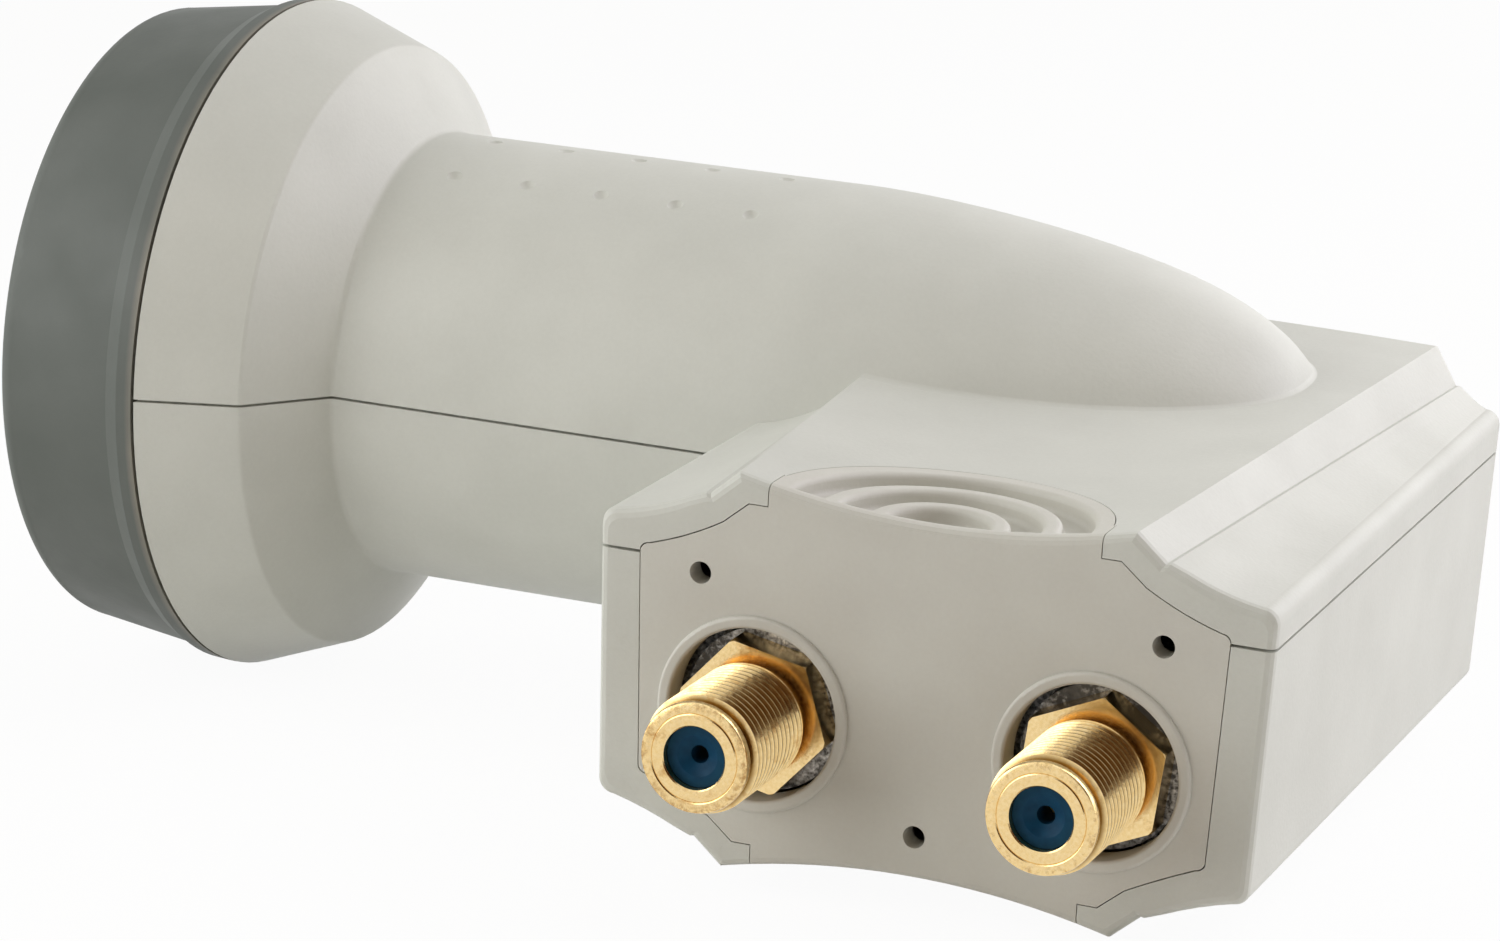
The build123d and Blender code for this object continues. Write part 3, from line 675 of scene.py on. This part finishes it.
def cut_hexagon(x, turn):
    """Hexagon with a turned front: a six-sided bar is cut by a cone, as on the lathe."""
    bpy.ops.object.select_all(action="DESELECT")
    bpy.ops.mesh.primitive_cylinder_add(vertices=6, radius=hex_corner_r, depth=hex_back_y - hex_front_y,
                                        location=(x, hex_mid_y, socket_z),
                                        rotation=(math.radians(90), math.radians(30) - turn, 0))
    hexagon = bpy.context.object
    bpy.ops.object.transform_apply(location=True, rotation=True, scale=True)
    bpy.ops.object.select_all(action="DESELECT")
    bpy.ops.mesh.primitive_cone_add(vertices=cone_steps, radius1=cone_wide, radius2=cone_narrow,
                                    depth=cone_length, location=(x, hex_front_y + cone_length / 2, socket_z),
                                    rotation=(math.radians(90), 0, 0))
    combine(hexagon, bpy.context.object, "INTERSECT")
    return hexagon


def count_open_edges(piece):
    """How many edges of a mesh don't have two faces."""
    shape = bmesh.new()
    shape.from_mesh(piece.data)
    count = sum(len(edge.link_faces) != 2 for edge in shape.edges)
    shape.free()
    return count


for side, socket in sockets.items():
    combine(socket, cut_hexagon(socket_x[side], hex_turn[side]), "UNION")
    bpy.ops.object.shade_smooth_by_angle(angle=smooth_below)
    socket.name = "threaded_socket_" + side
    print(socket.name, "faces", len(socket.data.polygons), "open edges", count_open_edges(socket))

# %% [markdown]
# ## Gold plating
# The plating is thin gold over nickel on brass. It mirrors the room, but the turned surface under
# it is pitted and a little brown where the plating is porous, above all on the face's rim, which
# plugs rub. The thread's valleys, the relief groove and the undercut get a darker brown gold, which
# is painted shade. Colour, roughness and bump come from noises at the size of those pits and
# stains, and rings round the axis stand for the turning marks on the face. The left socket is the
# more worn of the two.

# %% Gold-plated brass
stain_size = 1.6 * MM
speck_size = 0.45 * MM
pit_size = 0.3 * MM
turning_size = 2.2 * MM
turning_share = 0.3
plating_relief = 0.03 * MM


def gold_plating(name, x, wear):
    """Gold plate over turned brass, with turning marks round the axis at x; wear is the share of stains."""
    material, tree, shader, where = start_material(name)

    # Place on the socket: distance from the axis, behind the lead, and ahead of the hexagon
    centred = add(tree, "ShaderNodeMapping", {"Vector": where, "Location": (-x, 0.0, -socket_z)})
    split = add(tree, "ShaderNodeSeparateXYZ", {"Vector": centred.outputs[0]})
    flat = add(tree, "ShaderNodeCombineXYZ", {"X": split.outputs["X"], "Y": split.outputs["Z"]})
    radius = add(tree, "ShaderNodeVectorMath", {0: flat.outputs[0]}, operation="LENGTH")
    past_lead = add(tree, "ShaderNodeMapRange", {"Value": split.outputs["Y"], "From Min": lead_end_y,
                                                 "From Max": relief_y})
    ahead = add(tree, "ShaderNodeMath", {0: 1.0, 1: past_lead.outputs[0]}, operation="SUBTRACT")
    on_rod = add(tree, "ShaderNodeMapRange", {"Value": split.outputs["Y"], "From Min": hex_front_y - 0.4 * MM,
                                              "From Max": hex_front_y, "To Min": 1.0, "To Max": 0.0})

    # Clean plating with pits, and brown stains where it is porous
    pits = add(tree, "ShaderNodeTexNoise", {"Vector": where, "Scale": 1 / pit_size, "Detail": 3.0})
    stain = add(tree, "ShaderNodeTexNoise", {"Vector": where, "Scale": 1 / stain_size, "Detail": 5.0,
                                             "Roughness": 0.66})
    stained = add(tree, "ShaderNodeMapRange", {"Value": stain.outputs["Fac"], "From Min": 0.62 - wear,
                                               "From Max": 0.8 - wear, "To Min": 0.0, "To Max": 0.8})
    clean = add(tree, "ShaderNodeMixRGB", {"Fac": pits.outputs["Fac"], "Color1": linear("#e7c27c"),
                                           "Color2": linear("#f6dfae")})
    brown = add(tree, "ShaderNodeMixRGB", {"Fac": stained.outputs["Result"], "Color1": clean.outputs[0],
                                           "Color2": linear("#b57f36")})

    # Specks on the face and the lead, most of them at the rim that plugs rub
    edge = add(tree, "ShaderNodeMapRange", {"Value": radius.outputs["Value"], "From Min": mark_r,
                                            "From Max": face_r, "To Min": 0.15, "To Max": 1.0})
    specks = add(tree, "ShaderNodeTexNoise", {"Vector": where, "Scale": 1 / speck_size, "Detail": 4.0,
                                              "Roughness": 0.7})
    rubbed = add(tree, "ShaderNodeMapRange", {"Value": specks.outputs["Fac"], "From Min": 0.5 - wear,
                                              "From Max": 0.74 - wear, "To Min": 0.0, "To Max": 0.7})
    rubbed = add(tree, "ShaderNodeMath", {0: rubbed.outputs[0], 1: edge.outputs[0]}, operation="MULTIPLY")
    rubbed = add(tree, "ShaderNodeMath", {0: rubbed.outputs[0], 1: ahead.outputs[0]}, operation="MULTIPLY")
    spotted = add(tree, "ShaderNodeMixRGB", {"Fac": rubbed.outputs[0], "Color1": brown.outputs[0],
                                             "Color2": linear("#9a6a2e")})

    # Painted shade: the valleys of the thread, the relief groove and the undercut turn a darker brown gold
    valley_shade_mask = add(tree, "ShaderNodeMapRange", {"Value": radius.outputs["Value"], "From Min": thread_root,
                                              "From Max": thread_r - 0.02 * MM, "To Min": 0.95,
                                              "To Max": 0.0})
    painted_recess_shade = add(tree, "ShaderNodeMath", {0: valley_shade_mask.outputs[0], 1: past_lead.outputs[0]}, operation="MULTIPLY")
    painted_recess_shade = add(tree, "ShaderNodeMath", {0: painted_recess_shade.outputs[0], 1: on_rod.outputs[0]}, operation="MULTIPLY")
    # The darker brown gold mixed in here is painted shade in those recesses
    dark = add(tree, "ShaderNodeMixRGB", {"Fac": painted_recess_shade.outputs[0], "Color1": spotted.outputs[0],
                                          "Color2": linear("#7d5a22")})

    # Gloss from the pits, and relief from the pits and the turning marks
    gloss = add(tree, "ShaderNodeMapRange", {"Value": pits.outputs["Fac"], "From Min": 0.3, "From Max": 0.7,
                                             "To Min": 0.27, "To Max": 0.15})
    marks = add(tree, "ShaderNodeTexWave", {"Vector": centred.outputs[0], "Scale": 1 / turning_size,
                                            "Distortion": 1.2, "Detail": 2.0}, wave_type="RINGS",
                rings_direction="Y")
    height = add(tree, "ShaderNodeMath", {0: marks.outputs["Fac"], 1: turning_share, 2: pits.outputs["Fac"]},
                 operation="MULTIPLY_ADD")
    relief = add(tree, "ShaderNodeBump", {"Height": height.outputs[0], "Strength": 0.22,
                                          "Distance": plating_relief})
    tree.links.new(dark.outputs[0], shader.inputs["Base Color"])
    tree.links.new(gloss.outputs["Result"], shader.inputs["Roughness"])
    tree.links.new(relief.outputs["Normal"], shader.inputs["Normal"])
    shader.inputs["Metallic"].default_value = 1.0
    return material


# %% [markdown]
# ## Put the sockets in place
# Each socket gets its plating, rides on the part's body, and stands in for the plain solid.

# %% Plate both sockets
socket_wear = {"left": 0.08, "right": 0.0}
for side, socket in sockets.items():
    socket.data.materials.clear()
    plating = gold_plating("brass_gold_plated_" + side, socket_x[side], socket_wear[side])
    socket.data.materials.append(plating)
    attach(socket, "root")
    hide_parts("socket_body_" + side)
    print(socket.name, "plated with", plating.name)
